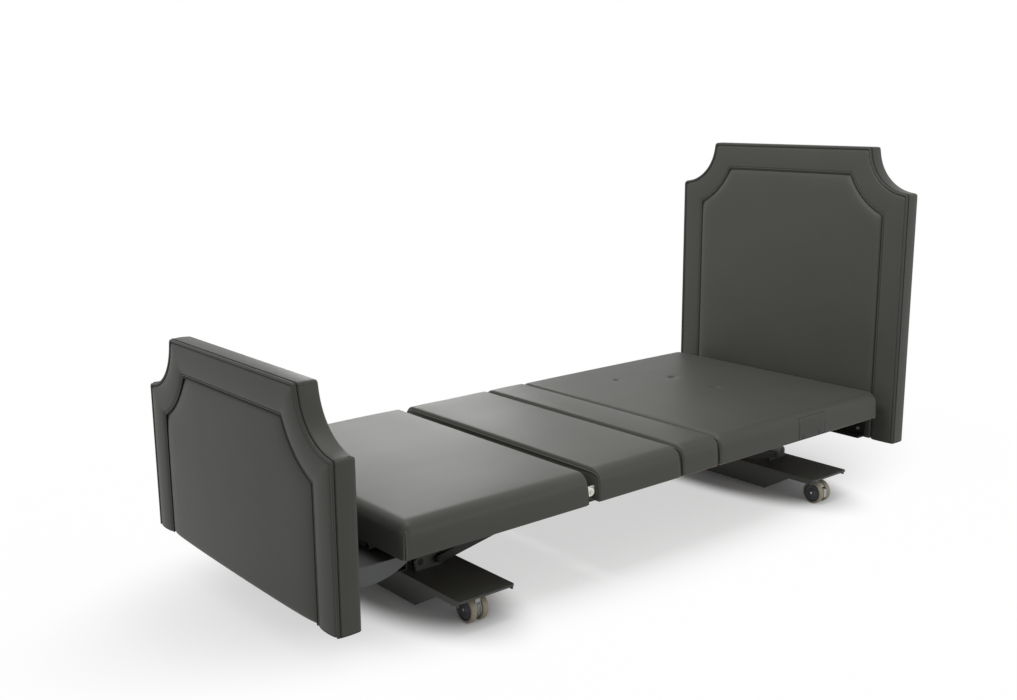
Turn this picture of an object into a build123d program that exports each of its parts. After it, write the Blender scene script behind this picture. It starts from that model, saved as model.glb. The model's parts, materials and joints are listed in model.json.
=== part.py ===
from build123d import *
import os
from math import atan2, cos, degrees, dist, radians, sin, sqrt, tan

# Adjustable bed with a padded four-section deck, padded end boards and two rolling lift bases.
# Millimetres. +Y runs from the foot end to the head end, +Z is up, and the floor is z = 0.
# The bed is modelled flat and at its lowest height.

os.makedirs("parts", exist_ok=True)

# ---- driving dimensions -------------------------------------------------------------------
# End boards
board_width = 1016
board_depth = 72
board_cut = 155
border_width = 98
core_depth = 22
half_length = 1188
footboard_z = (112, 704)
headboard_z = (136, 1181)
packer_top = 222

# Deck
deck_width = 960
deck_bottom = 240
deck_top = 332
panel_thickness = 18
panel_inset = 4
pad_edge_radius = 28
calf_y = (-974, -345)
thigh_y = (-307, 37)
seat_y = (42, 205)
back_y = (210, 1058)

# Frames
rail_x = 300
rail_width = 30
rail_z = (170, 210)
cross_height = 25
tube_wall = 2
subframe_x = 287.5
subframe_z = (216, 240)
subframe_tube = 25
frame_foot_y = -930
frame_head_y = 1110
bracket_half = 388
side_plate = 6

# Deck hinges
hinge_height = deck_top - pad_edge_radius
back_hinge = (back_y[0] + pad_edge_radius, hinge_height)
thigh_hinge = (thigh_y[1] - pad_edge_radius, hinge_height)
knee_hinge = ((calf_y[1] + thigh_y[0]) / 2, 272)
hinge_pin_radius = 6
hinge_lug = 8
knee_leaf_x = 455
knee_pin_radius = 5
back_travel = 60
knee_travel = 35

# Lift
lift_length = 450
lift_rest_angle = 10.5
lift_travel = 52
lift_frame_z = 200
head_pivot_y = 812
foot_pivot_y = -772
tie_offset = 55
arm_x = 235
arm_thickness = 12
arm_width = 36
lug_x = 257
tie_x = 274
tie_thickness = 8
tie_width = 24
pivot_pin_radius = 10
tie_pin_radius = 8
torque_tube_radius = 20

# Drives: a sliding rod whose cross pin runs in a slotted lever
deck_drive_z = 190
deck_lever = 114
lift_lever = 75
cross_pin_radius = 8
lever_thickness = 10
rod_radius = 10

# Bases and casters
base_half_length = 500
base_width = 186
base_top = 95
base_plate = 6
skirt_bottom = 20
skirt_half = 300
skirt_step = 400
edge_depth = 17
foot_base_y = -728
head_base_y = 763
stem_x = 455
caster_trail = 15
foot_caster_y = -734
head_caster_y = 733
wheel_radius = 37.5
wheel_width = 20
wheel_gap = 18
stem_radius = 5.5
axle_radius = 4

running = 0.05          # radial clearance of every turning fit
open_pivot = 0.5        # radial clearance where a closed linkage is opened

low_corner = (Align.MIN, Align.MIN, Align.MIN)


# ---- helpers -------------------------------------------------------------------------------
def keep(builder, name):
    """Label a finished piece and write it."""
    builder.part.label = name
    export_step(builder.part, f"parts/{name}.step")


def block(low, high, mode=Mode.ADD):
    """Box between two opposite corners."""
    with Locations(low):
        Box(high[0] - low[0], high[1] - low[1], high[2] - low[2], align=low_corner, mode=mode)


def tube_y(x, y0, y1, z0, z1, width=subframe_tube):
    """Rectangular tube along Y, open at both ends."""
    half = width / 2
    hollow = half - tube_wall
    block((x - half, y0, z0), (x + half, y1, z1))
    block((x - hollow, y0, z0 + tube_wall), (x + hollow, y1, z1 - tube_wall), Mode.SUBTRACT)


def tube_x(x0, x1, y0, z0, z1, width=subframe_tube):
    """Rectangular tube along X, open at both ends."""
    block((x0, y0, z0), (x1, y0 + width, z1))
    inner = (y0 + tube_wall, y0 + width - tube_wall)
    block((x0, inner[0], z0 + tube_wall), (x1, inner[1], z1 - tube_wall), Mode.SUBTRACT)


def link(start, end, width, mode=Mode.ADD):
    """Round-ended link outline between two points of the current sketch."""
    middle = ((start[0] + end[0]) / 2, (start[1] + end[1]) / 2)
    turn = degrees(atan2(end[1] - start[1], end[0] - start[0]))
    with Locations(middle):
        SlotCenterToCenter(dist(start, end), width, rotation=turn, mode=mode)


def plate_x(x_center, thickness):
    """Sketch plane facing +X whose extrusion is centred on x_center."""
    return Plane.YZ.offset(x_center - thickness / 2)


def pin_x(x0, x1, center, radius, mode=Mode.ADD):
    """Round pin or bore along X at (y, z)."""
    with BuildSketch(Plane.YZ.offset(x0)) as profile:
        with Locations(center):
            Circle(radius)
    extrude(profile.sketch, amount=x1 - x0, mode=mode)


def polar(center, angle, radius):
    """Point at a radius from a centre, the angle measured from straight down towards +Y."""
    return (center[0] + radius * sin(radians(angle)), center[1] - radius * cos(radians(angle)))


def lever(x, pivot, angle, start, slot_range, half_width, slot_half):
    """Slotted lever plate pointing away from a pivot."""
    tip = polar(pivot, angle, slot_range[1])
    with BuildSketch(plate_x(x, lever_thickness)) as plate:
        link(polar(pivot, angle, start), tip, 2 * half_width)
    extrude(plate.sketch, amount=lever_thickness)
    with BuildSketch(plate_x(x, lever_thickness)) as slot:
        link(polar(pivot, angle, slot_range[0]), tip, 2 * slot_half)
    extrude(slot.sketch, amount=lever_thickness, mode=Mode.SUBTRACT)


# ---- end boards ----------------------------------------------------------------------------
def board_outline(inset, bottom, top):
    """Outline with concave top corners, drawn at an inset from the outer edge."""
    half = board_width / 2
    radius = board_cut + inset
    reach = sqrt(radius**2 - inset**2)
    diagonal = radius * cos(radians(45))
    side = half - inset
    crown = top - inset
    with BuildLine() as edge:
        Line((-side, bottom), (-side, top - reach))
        ThreePointArc((-side, top - reach), (diagonal - half, top - diagonal), (reach - half, crown))
        Line((reach - half, crown), (half - reach, crown))
        ThreePointArc((half - reach, crown), (half - diagonal, top - diagonal), (side, top - reach))
        Line((side, top - reach), (side, bottom))
        Line((side, bottom), (-side, bottom))
    make_face(edge.edges())


def slab(y_back, depth, inset, bottom, top, mode=Mode.ADD):
    """Board-shaped slab from y_back towards the foot end."""
    with BuildSketch(Plane.XZ.offset(-y_back)) as profile:
        board_outline(inset, bottom, top)
    extrude(profile.sketch, amount=depth, mode=mode)


head_bolts = [(x, 170) for x in (-375, -130, 130, 375)]
foot_bolts = [(x, 185) for x in (-340, -130, 130, 340)]
bolt_radius = 4
bolt_hole_radius = 4.25
bolt_head = 7
wrap_gap = 2
inset_gap = 2
border_setback = 2


def drill_y(centers, y_back, depth, radius):
    """Round holes along Y, cut from y_back towards the foot end."""
    with BuildSketch(Plane.XZ.offset(-y_back)) as profile:
        with Locations(*centers):
            Circle(radius)
    extrude(profile.sketch, amount=depth, mode=Mode.SUBTRACT)


def end_board(name, y_back, bottom, top, inset_bottom, bolts, packer):
    """Plywood core, padded border and crowned inset of one end board."""
    pad_back = y_back - core_depth
    pad_depth = board_depth - core_depth
    with BuildPart() as core:
        slab(y_back, core_depth, wrap_gap, bottom + wrap_gap, top)
        if packer:
            side = board_width / 2 - border_width - inset_gap
            block((-side, pad_back - pad_depth, bottom + wrap_gap), (side, pad_back, packer_top))
        drill_y(bolts, y_back, board_depth, bolt_hole_radius)
    keep(core, f"{name}_core")
    with BuildPart() as border:
        slab(pad_back, pad_depth - border_setback, 0, bottom, top)
        slab(pad_back, pad_depth, border_width, bottom, top, Mode.SUBTRACT)
    keep(border, f"{name}_border")
    with BuildPart() as inset:
        slab(pad_back, pad_depth, border_width + inset_gap, inset_bottom, top)
    keep(inset, f"{name}_inset")


foot_inner_y = board_depth - half_length
head_inner_y = half_length - board_depth
end_board("footboard", foot_inner_y, *footboard_z, footboard_z[0], foot_bolts, False)
end_board("headboard", half_length, *headboard_z, packer_top + inset_gap, head_bolts, True)

# ---- deck sections -------------------------------------------------------------------------
pocket_x = 22
lug_pocket_top = 323
lug_pocket_depth = 82
knee_pocket_top = 288
knee_pocket_depth = 67
knee_pocket_x = (426, 470)
rail_holes_y = (631, 719)
rail_hole_radius = 4
rail_hole_depth = 40


def section(name, span, lug_pocket=None, knee_pocket=None, side_holes=()):
    """Plywood panel and upholstered pad of one deck section, with pockets for its hinges."""
    half = deck_width / 2
    panel_top = deck_bottom + panel_thickness
    with BuildPart() as panel:
        low = (panel_inset - half, span[0] + panel_inset, deck_bottom)
        block(low, (half - panel_inset, span[1] - panel_inset, panel_top))
        if lug_pocket:
            for x in (-rail_x, rail_x):
                start = (x - pocket_x, lug_pocket[0], deck_bottom)
                block(start, (x + pocket_x, lug_pocket[1], panel_top), Mode.SUBTRACT)
        for y in side_holes:
            with BuildSketch(Plane.YZ.offset(half - panel_inset)):
                with Locations((y, deck_bottom + panel_thickness / 2)):
                    Circle(rail_hole_radius)
            extrude(amount=-rail_hole_depth, mode=Mode.SUBTRACT)
    keep(panel, f"{name}_panel")
    with BuildPart() as pad:
        block((-half, span[0], panel_top), (half, span[1], deck_top))
        fillet(pad.edges().group_by(Axis.Z)[-1], pad_edge_radius)
        if lug_pocket:
            for x in (-rail_x, rail_x):
                start = (x - pocket_x, lug_pocket[0], panel_top)
                block(start, (x + pocket_x, lug_pocket[1], lug_pocket_top), Mode.SUBTRACT)
        if knee_pocket:
            for x0, x1 in (knee_pocket_x, (-knee_pocket_x[1], -knee_pocket_x[0])):
                start = (x0, knee_pocket[0], panel_top)
                block(start, (x1, knee_pocket[1], knee_pocket_top), Mode.SUBTRACT)
    keep(pad, f"{name}_pad")


section("calf", calf_y, knee_pocket=(calf_y[1] - knee_pocket_depth, calf_y[1]))
section(
    "thigh",
    thigh_y,
    lug_pocket=(thigh_y[1] - lug_pocket_depth, thigh_y[1]),
    knee_pocket=(thigh_y[0], thigh_y[0] + knee_pocket_depth),
)
section("seat", seat_y)
section("back", back_y, lug_pocket=(back_y[0], back_y[0] + lug_pocket_depth), side_holes=rail_holes_y)

# ---- section subframes ---------------------------------------------------------------------
ear_x = (289, 311)
ear_thickness = 6
ear_width = 28
ear_foot_z = 235
lever_half_width = 19
back_lever_slot = (112, 134)
back_lever_gap = 3
knee_lever_slot = (112, 121.5)
knee_lever_gap = 1
back_drive_x = 60
knee_drive_x = -60
deck_lever_start = 108
lever_web_top = 236
web_inset = 4
web_half = 14
web_lift = 6
back_tubes_y = (262, 620, 1010)
thigh_tubes_y = (-41, -290)
calf_tubes_y = (-385, -700, -960)


def subframe(span, tubes_y):
    """Ladder of two side tubes and its cross tubes."""
    inner = subframe_x - subframe_tube / 2
    for x in (-subframe_x, subframe_x):
        tube_y(x, span[0], span[1], *subframe_z)
    for y in tubes_y:
        tube_x(-inner, inner, y, *subframe_z)


def hinge_ears(hinge, foot_y):
    """Twin ears on each side that reach from the subframe up to the hinge pins."""
    for side in (-1, 1):
        for x in ear_x:
            with BuildSketch(plate_x(side * x, ear_thickness)) as profile:
                link(hinge, (foot_y, ear_foot_z), ear_width)
                with Locations(hinge):
                    Circle(hinge_pin_radius + running, mode=Mode.SUBTRACT)
            extrude(profile.sketch, amount=ear_thickness)


def ear_feet(y0, y1):
    """Short stubs that carry the outer ears from the side tubes."""
    outer = subframe_x + subframe_tube / 2
    reach = ear_x[1] + ear_thickness / 2
    for x0, x1 in ((outer, reach), (-reach, -outer)):
        block((x0, y0, subframe_z[0]), (x1, y1, subframe_z[1]))


def lever_web(x, outline):
    """Flat web that joins a lever to its subframe."""
    with BuildSketch(plate_x(x, lever_thickness)) as profile:
        Polygon(*outline, align=None)
    extrude(profile.sketch, amount=lever_thickness)


with BuildPart() as back_frame:
    subframe((back_tubes_y[0], back_tubes_y[2] + subframe_tube), back_tubes_y)
    ear_feet(back_tubes_y[0], back_tubes_y[0] + subframe_tube)
    hinge_ears(back_hinge, back_tubes_y[0])
    web_left = polar(back_hinge, -back_travel / 2, back_lever_slot[0])
    lever_web(
        back_drive_x,
        [
            (back_tubes_y[0], subframe_z[0]),
            (back_tubes_y[0], lever_web_top),
            (back_y[0] + web_inset, lever_web_top),
            (web_left[0] - web_half, web_left[1] + web_lift),
            (web_left[0] + web_half, web_left[1] - web_lift),
        ],
    )
    slot_half = cross_pin_radius + back_lever_gap
    rest_angle = -back_travel / 2
    shape = (back_lever_slot, lever_half_width, slot_half)
    lever(back_drive_x, back_hinge, rest_angle, deck_lever_start, *shape)
keep(back_frame, "back_frame")

with BuildPart() as thigh_frame:
    subframe((thigh_tubes_y[1], thigh_tubes_y[0] + subframe_tube), thigh_tubes_y)
    ear_feet(thigh_tubes_y[0], thigh_tubes_y[0] + subframe_tube)
    hinge_ears(thigh_hinge, thigh_tubes_y[0] + subframe_tube)
    web_right = polar(thigh_hinge, knee_travel / 2, knee_lever_slot[0])
    lever_web(
        knee_drive_x,
        [
            (thigh_tubes_y[0] + subframe_tube, subframe_z[0]),
            (thigh_tubes_y[0] + subframe_tube, lever_web_top),
            (thigh_y[1] - web_inset, lever_web_top),
            (web_right[0] + web_half, web_right[1] + web_lift),
            (web_right[0] - web_half, web_right[1] - web_lift),
        ],
    )
    slot_half = cross_pin_radius + knee_lever_gap
    rest_angle = knee_travel / 2
    shape = (knee_lever_slot, lever_half_width, slot_half)
    lever(knee_drive_x, thigh_hinge, rest_angle, deck_lever_start, *shape)
keep(thigh_frame, "thigh_frame")

with BuildPart() as calf_frame:
    subframe((calf_tubes_y[2], calf_tubes_y[0] + subframe_tube), calf_tubes_y)
keep(calf_frame, "calf_frame")

# Knee hinge leaves, screwed onto the panels inside the pads' corner pockets
leaf_thickness = 6
leaf_width = 24
leaf_reach = 64
leaf_foot = 4
leaf_foot_y = (26, leaf_reach + 8)
leaf_inner_x = 430
knee_stud_length = 14


def knee_leaves(name, direction, x_center, bore):
    """Pair of hinge leaves that reach into the gap between the calf and thigh sections."""
    end = (knee_hinge[0] + direction * leaf_reach, knee_hinge[1])
    foot_y = sorted(knee_hinge[0] + direction * reach for reach in leaf_foot_y)
    panel_top = deck_bottom + panel_thickness
    with BuildPart() as leaves:
        for side in (-1, 1):
            with BuildSketch(plate_x(side * x_center, leaf_thickness)):
                link(knee_hinge, end, leaf_width)
            extrude(amount=leaf_thickness)
            reach = x_center + leaf_thickness / 2
            x0, x1 = sorted((side * leaf_inner_x, side * reach))
            block((x0, foot_y[0], panel_top), (x1, foot_y[1], panel_top + leaf_foot))
            stud = sorted((side * knee_leaf_x, side * (knee_leaf_x + knee_stud_length)))
            if bore:
                pin_x(*stud, knee_hinge, knee_pin_radius + running, Mode.SUBTRACT)
            else:
                pin_x(*stud, knee_hinge, knee_pin_radius)
    keep(leaves, name)


knee_leaves("thigh_hinge_leaves", 1, knee_leaf_x, bore=False)
knee_leaves("calf_hinge_leaves", -1, knee_leaf_x + leaf_thickness + 2, bore=True)

# ---- lift geometry -------------------------------------------------------------------------
lift_run = lift_length * cos(radians(lift_rest_angle))
lift_base_z = lift_frame_z - lift_length * sin(radians(lift_rest_angle))
head_low = (head_pivot_y, lift_base_z)
head_high = (head_pivot_y - lift_run, lift_frame_z)
foot_low = (foot_pivot_y, lift_base_z)
foot_high = (foot_pivot_y + lift_run, lift_frame_z)


def inward(point, direction, distance=tie_offset):
    """Same point moved towards the bed's middle."""
    return (point[0] - direction * distance, point[1])


# ---- main frame ----------------------------------------------------------------------------
seat_tubes_y = (70, 115)
drive_tube_y = -230
hanger_half = 20
lift_motor_z = 125
lift_block_z = (100, 150)
lift_motor_reach = (250, 230)
lift_cross_y = (foot_high[0] - lift_motor_reach[0], head_high[0] + lift_motor_reach[1])
head_tube_setback = 60
stub_y = 112.5
lug_plate = 8
lug_width = 28
lug_reach = 100
hinge_lug_width = 32
hinge_lug_base = 16

with BuildPart() as main_frame:
    half_rail = rail_width / 2
    for x in (-rail_x, rail_x):
        tube_y(x, frame_foot_y + rail_width, frame_head_y, *rail_z, width=rail_width)
    tube_x(side_plate - bracket_half, bracket_half - side_plate, frame_foot_y, *rail_z, width=rail_width)
    clear = rail_x - half_rail
    cross_low = rail_z[1] - cross_height
    for y in (drive_tube_y, *lift_cross_y, frame_head_y - head_tube_setback):
        tube_x(-clear, clear, y, cross_low, rail_z[1])
    for y in seat_tubes_y:
        tube_x(-rail_x - half_rail, rail_x + half_rail, y, rail_z[1], deck_bottom)
    for side in (-1, 1):
        for hinge in (back_hinge, thigh_hinge):
            with BuildSketch(plate_x(side * rail_x, hinge_lug)):
                link(hinge, (hinge[0], rail_z[1] + hinge_lug_base), hinge_lug_width)
                with Locations((hinge[0], rail_z[1] + hinge_lug_base / 2)):
                    Rectangle(hinge_lug_width, hinge_lug_base)
                with Locations(hinge):
                    Circle(hinge_pin_radius + running, mode=Mode.SUBTRACT)
            extrude(amount=hinge_lug)
        for high, direction in ((head_high, 1), (foot_high, -1)):
            stub_end = high[0] - direction * stub_y
            stub = sorted((stub_end, stub_end + direction * subframe_tube))
            with BuildSketch(plate_x(side * lug_x, lug_plate)):
                link(high, inward(high, direction, lug_reach), lug_width)
                with Locations(high):
                    Circle(pivot_pin_radius + running, mode=Mode.SUBTRACT)
                with Locations(inward(high, direction)):
                    Circle(tie_pin_radius + running, mode=Mode.SUBTRACT)
            extrude(amount=lug_plate)
            x0, x1 = sorted((side * (lug_x + lug_plate / 2), side * clear))
            block((x0, stub[0], cross_low), (x1, stub[1], rail_z[1]))
    for y in lift_cross_y:
        block((-hanger_half, y, lift_block_z[1]), (hanger_half, y + subframe_tube, cross_low))
keep(main_frame, "main_frame")

bumper_height = 5.5
bumper_half = 12
bumper_length = 40
bumper_y = (-850, -600, -180, 420, 930)
with BuildPart() as rest_bumpers:
    bumper_top = rail_z[1] + bumper_height
    for x in (-rail_x, rail_x):
        for y in bumper_y:
            block((x - bumper_half, y, rail_z[1]), (x + bumper_half, y + bumper_length, bumper_top))
keep(rest_bumpers, "rest_bumpers")

hinge_pin_half = 16
arm_pin_end = arm_x - 8
tie_pin_end = tie_x + 6
with BuildPart() as frame_pivot_pins:
    for side in (-1, 1):
        for hinge in (back_hinge, thigh_hinge):
            middle = side * rail_x
            pin_x(middle - hinge_pin_half, middle + hinge_pin_half, hinge, hinge_pin_radius)
        for high, direction in ((head_high, 1), (foot_high, -1)):
            outer = lug_x + lug_plate / 2
            pin_x(*sorted((side * arm_pin_end, side * outer)), high, pivot_pin_radius)
            inner = lug_x - lug_plate / 2
            pin_x(*sorted((side * inner, side * tie_pin_end)), inward(high, direction), tie_pin_radius)
keep(frame_pivot_pins, "frame_pivot_pins")

# ---- lift arms and tie links ---------------------------------------------------------------
lift_slot = (72, 86)
lift_lever_start = 10
lift_lever_gap = 2
lift_lever_half = 17
torque_tube_wall = 3


def lift_arm(name, low, high, direction):
    """Two side arms on a torque tube, with the slotted drive lever in the middle."""
    with BuildPart() as arm:
        for side in (-1, 1):
            with BuildSketch(plate_x(side * arm_x, arm_thickness)):
                link(low, high, arm_width)
                with Locations(low, high):
                    Circle(pivot_pin_radius + running, mode=Mode.SUBTRACT)
            extrude(amount=arm_thickness)
        reach = arm_x - arm_thickness / 2
        pin_x(-reach, reach, high, torque_tube_radius)
        angle = direction * lift_travel / 2
        slot_half = cross_pin_radius + lift_lever_gap
        lever(0, high, angle, lift_lever_start, lift_slot, lift_lever_half, slot_half)
        pin_x(-reach, reach, high, torque_tube_radius - torque_tube_wall, Mode.SUBTRACT)
    keep(arm, name)


def tie_links(name, low, high, low_gap, high_gap):
    """Pair of parallel links that keep a base level."""
    with BuildPart() as ties:
        for side in (-1, 1):
            with BuildSketch(plate_x(side * tie_x, tie_thickness)):
                link(low, high, tie_width)
                with Locations(low):
                    Circle(tie_pin_radius + low_gap, mode=Mode.SUBTRACT)
                with Locations(high):
                    Circle(tie_pin_radius + high_gap, mode=Mode.SUBTRACT)
            extrude(amount=tie_thickness)
    keep(ties, name)


lift_arm("head_lift_arm", head_low, head_high, 1)
lift_arm("foot_lift_arm", foot_low, foot_high, -1)
tie_links("head_tie_links", inward(head_low, 1), inward(head_high, 1), running, open_pivot)
tie_links("foot_tie_links", inward(foot_low, -1), inward(foot_high, -1), open_pivot, running)

# ---- drives --------------------------------------------------------------------------------
fork_depth = 38
fork_nose = 12
fork_cheek = 6
fork_height = 22
fork_wall = 6
fork_clearance = 0.3
rod_gap = 45
tube_spare = 60
bore_spare = 50
tail_spare = 42
gearbox_half = 30
gearbox_length = 70
motor_offset = 42
motor_length = 150
motor_overhang = 10


def drive_pin_y(pivot, reach, angle):
    """Y of the cross pin when the lever stands at an angle from straight down."""
    return pivot[0] + reach * tan(radians(angle))


def drive(name, x, z, pin_y, direction, stroke, tube_radius, motor_side, block_z):
    """Fixed drive housing with its motor, and the sliding rod with a forked end."""
    front = pin_y - direction * rod_gap
    rear = front - direction * (stroke + tube_spare)
    y0, y1 = sorted((front, rear))
    m0, m1 = sorted((rear, rear - direction * gearbox_length))
    motor_end = max(y1, m1) - (motor_overhang if direction > 0 else 0)
    with BuildPart() as housing:
        with BuildSketch(Plane.XZ.offset(-y1)):
            with Locations((x, z)):
                Circle(tube_radius)
        extrude(amount=y1 - y0)
        block((x - gearbox_half, m0, block_z[0]), (x + gearbox_half, m1, block_z[1]))
        with BuildSketch(Plane.XZ.offset(-motor_end)):
            with Locations((x + motor_side * motor_offset, z)):
                Circle(tube_radius)
        extrude(amount=motor_length)
        with BuildSketch(Plane.XZ.offset(-front)):
            with Locations((x, z)):
                Circle(rod_radius + running)
        extrude(amount=direction * (stroke + bore_spare), mode=Mode.SUBTRACT)
    keep(housing, f"{name}_drive")
    fork_back = pin_y - direction * fork_depth
    tail = front - direction * (stroke + tail_spare)
    half = lever_thickness / 2 + fork_clearance
    outer = half + fork_cheek
    with BuildPart() as rod:
        with BuildSketch(Plane.XZ.offset(-max(fork_back, tail))):
            with Locations((x, z)):
                Circle(rod_radius)
        extrude(amount=abs(fork_back - tail))
        f0, f1 = sorted((fork_back, pin_y + direction * fork_nose))
        block((x - outer, f0, z - fork_height / 2), (x + outer, f1, z + fork_height / 2))
        s0, s1 = sorted((fork_back + direction * fork_wall, pin_y + direction * (fork_nose + 1)))
        block((x - half, s0, z - fork_height), (x + half, s1, z + fork_height), Mode.SUBTRACT)
        pin_x(x - outer, x + outer, (pin_y, z), cross_pin_radius)
    keep(rod, f"{name}_rod")


back_stroke = 2 * deck_lever * tan(radians(back_travel / 2))
knee_stroke = 2 * deck_lever * tan(radians(knee_travel / 2))
lift_stroke = 2 * lift_lever * tan(radians(lift_travel / 2))
deck_block_z = (168, 212)
deck_tube_radius = 18
lift_tube_radius = 22
back_pin_y = drive_pin_y(back_hinge, deck_lever, -back_travel / 2)
knee_pin_y = drive_pin_y(thigh_hinge, deck_lever, knee_travel / 2)
head_pin_y = drive_pin_y(head_high, lift_lever, lift_travel / 2)
foot_pin_y = drive_pin_y(foot_high, lift_lever, -lift_travel / 2)

drive("back", back_drive_x, deck_drive_z, back_pin_y, 1, back_stroke, deck_tube_radius, 1, deck_block_z)
drive("knee", knee_drive_x, deck_drive_z, knee_pin_y, -1, knee_stroke, deck_tube_radius, -1, deck_block_z)
drive("head_lift", 0, lift_motor_z, head_pin_y, -1, lift_stroke, lift_tube_radius, 1, lift_block_z)
drive("foot_lift", 0, lift_motor_z, foot_pin_y, 1, lift_stroke, lift_tube_radius, 1, lift_block_z)

# Control box between the rails, with its mains inlet facing the foot end
box_x = (-190, -60)
box_z = (172, 212)
box_length = 130
box_corner = 6
inlet_x = (-140, -110)
inlet_z = (180, 202)
inlet_depth = 18
with BuildPart() as control_box:
    box_head_y = lift_cross_y[1]
    box_foot_y = box_head_y - box_length
    block((box_x[0], box_foot_y, box_z[0]), (box_x[1], box_head_y, box_z[1]))
    fillet(control_box.edges().filter_by(Axis.Z), box_corner)
    low = (inlet_x[0], box_foot_y - 1, inlet_z[0])
    block(low, (inlet_x[1], box_foot_y + inlet_depth, inlet_z[1]), Mode.SUBTRACT)
keep(control_box, "control_box")

# ---- board brackets ------------------------------------------------------------------------
head_angle_z = (142, 212)
head_angle_y = 1076
angle_half = 395
tray_z = (204, 207)
side_plate_z = (162, 213)
side_plate_end = -875
side_plate_flat = 80
side_plate_bow = (62, 14)

with BuildPart() as head_bracket:
    low = (-angle_half, head_inner_y - side_plate, head_angle_z[0])
    block(low, (angle_half, head_inner_y, head_angle_z[1]))
    low = (-angle_half, head_angle_y, head_angle_z[0])
    block(low, (angle_half, head_inner_y - side_plate, head_angle_z[0] + side_plate))
    drill_y(head_bolts, head_inner_y, side_plate, bolt_hole_radius)
keep(head_bracket, "head_bracket")

with BuildPart() as foot_bracket:
    inner = bracket_half - side_plate
    for side in (-1, 1):
        low_end = (foot_inner_y + side_plate_flat, side_plate_z[0])
        high_end = (side_plate_end, side_plate_z[1])
        with BuildSketch(plate_x(side * (bracket_half - side_plate / 2), side_plate)):
            with BuildLine():
                Polyline(
                    low_end,
                    (foot_inner_y, side_plate_z[0]),
                    (foot_inner_y, side_plate_z[1]),
                    high_end,
                )
                middle = (side_plate_end - side_plate_bow[0], side_plate_z[0] + side_plate_bow[1])
                ThreePointArc(high_end, middle, low_end)
            make_face()
        extrude(amount=side_plate)
    block((-inner, foot_inner_y, tray_z[0]), (inner, frame_foot_y, tray_z[1]))
    block((-inner, foot_inner_y, side_plate_z[0]), (inner, foot_inner_y + side_plate, tray_z[0]))
    drill_y(foot_bolts, foot_inner_y + side_plate, side_plate, bolt_hole_radius)
keep(foot_bracket, "foot_bracket")


bolt_grip = 20
bolt_hex_radius = 7.5


def bolt(center, seat_y, direction):
    """Hex bolt along Y with its head on the inner side of a bracket."""
    facing = Plane(origin=(center[0], seat_y, center[1]), x_dir=(1, 0, 0), z_dir=(0, direction, 0))
    with BuildSketch(facing) as shank:
        Circle(bolt_radius)
    extrude(shank.sketch, amount=side_plate + bolt_grip)
    with BuildSketch(facing) as head:
        RegularPolygon(radius=bolt_hex_radius, side_count=6)
    extrude(head.sketch, amount=-bolt_head)


with BuildPart() as board_bolts:
    for center in head_bolts:
        bolt(center, head_inner_y - side_plate, 1)
    for center in foot_bolts:
        bolt(center, foot_inner_y + side_plate, -1)
keep(board_bolts, "board_bolts")

# ---- bases ---------------------------------------------------------------------------------
corner_radius = 8
boss_radius = 16
boss_depth = 9
stem_hole_over = 3
skirt_thickness = 4
base_lug_width = 32


def floor_base(name, y_center, caster_y, low, direction):
    """Floor base: folded plate with deep side skirts, pivot lugs and caster bosses."""
    y0 = y_center - base_width / 2
    y1 = y_center + base_width / 2
    under = base_top - base_plate
    tie_point = inward(low, direction)
    with BuildPart() as base:
        block((-base_half_length, y0, under), (base_half_length, y1, base_top))
        fillet(base.edges().filter_by(Axis.Z), corner_radius)
        for y in (y0 + skirt_thickness, y1):
            with BuildSketch(Plane.XZ.offset(-y)):
                with BuildLine():
                    Polyline(
                        (-base_half_length + corner_radius, under),
                        (-base_half_length + corner_radius, base_top - edge_depth),
                        (-skirt_step, base_top - edge_depth),
                        (-skirt_half, skirt_bottom),
                        (skirt_half, skirt_bottom),
                        (skirt_step, base_top - edge_depth),
                        (base_half_length - corner_radius, base_top - edge_depth),
                        (base_half_length - corner_radius, under),
                        close=True,
                    )
                make_face()
            extrude(amount=skirt_thickness)
        for side in (-1, 1):
            with BuildSketch(plate_x(side * lug_x, lug_plate)):
                link(low, tie_point, base_lug_width)
                middle = ((low[0] + tie_point[0]) / 2, (low[1] + base_top) / 2)
                with Locations(middle):
                    Rectangle(tie_offset + base_lug_width, low[1] - base_top)
                with Locations(low):
                    Circle(pivot_pin_radius + running, mode=Mode.SUBTRACT)
                with Locations(tie_point):
                    Circle(tie_pin_radius + running, mode=Mode.SUBTRACT)
            extrude(amount=lug_plate)
            with BuildSketch(Plane.XY.offset(under - boss_depth)):
                with Locations((side * stem_x, caster_y)):
                    Circle(boss_radius)
            extrude(amount=boss_depth)
            with BuildSketch(Plane.XY.offset(under - boss_depth)):
                with Locations((side * stem_x, caster_y)):
                    Circle(stem_radius + running)
            extrude(amount=boss_depth + stem_hole_over, mode=Mode.SUBTRACT)
    keep(base, name)
    with BuildPart() as pins:
        for side in (-1, 1):
            outer = lug_x + lug_plate / 2
            inner = lug_x - lug_plate / 2
            pin_x(*sorted((side * arm_pin_end, side * outer)), low, pivot_pin_radius)
            pin_x(*sorted((side * inner, side * tie_pin_end)), tie_point, tie_pin_radius)
    keep(pins, f"{name}_pins")


floor_base("head_base", head_base_y, head_caster_y, head_low, 1)
floor_base("foot_base", foot_base_y, foot_caster_y, foot_low, -1)

# ---- casters -------------------------------------------------------------------------------
hood_half = wheel_gap / 2 - 0.5
hood_radius = 31
hood_drop = 2
hood_block = (45, 79)
hood_block_reach = 10
hood_boss = (74, 79.5)
hood_boss_radius = 14
stem_seat = 14
stem_top = 2.5
stem_hole_depth = 30
tread_chamfer = 4
dish_depth = 3
dish_rim = 6
hub_rim = 8
window_x = (12, 40)
window_z = (14, 58)
pedal_width = 14
pedal_x = (16, 36)
pedal_z = (24, 52)
pedal_corner = 4
pedal_pivot = 27
pedal_slot_half = 5
pedal_slot_z = (36, 40)


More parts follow.
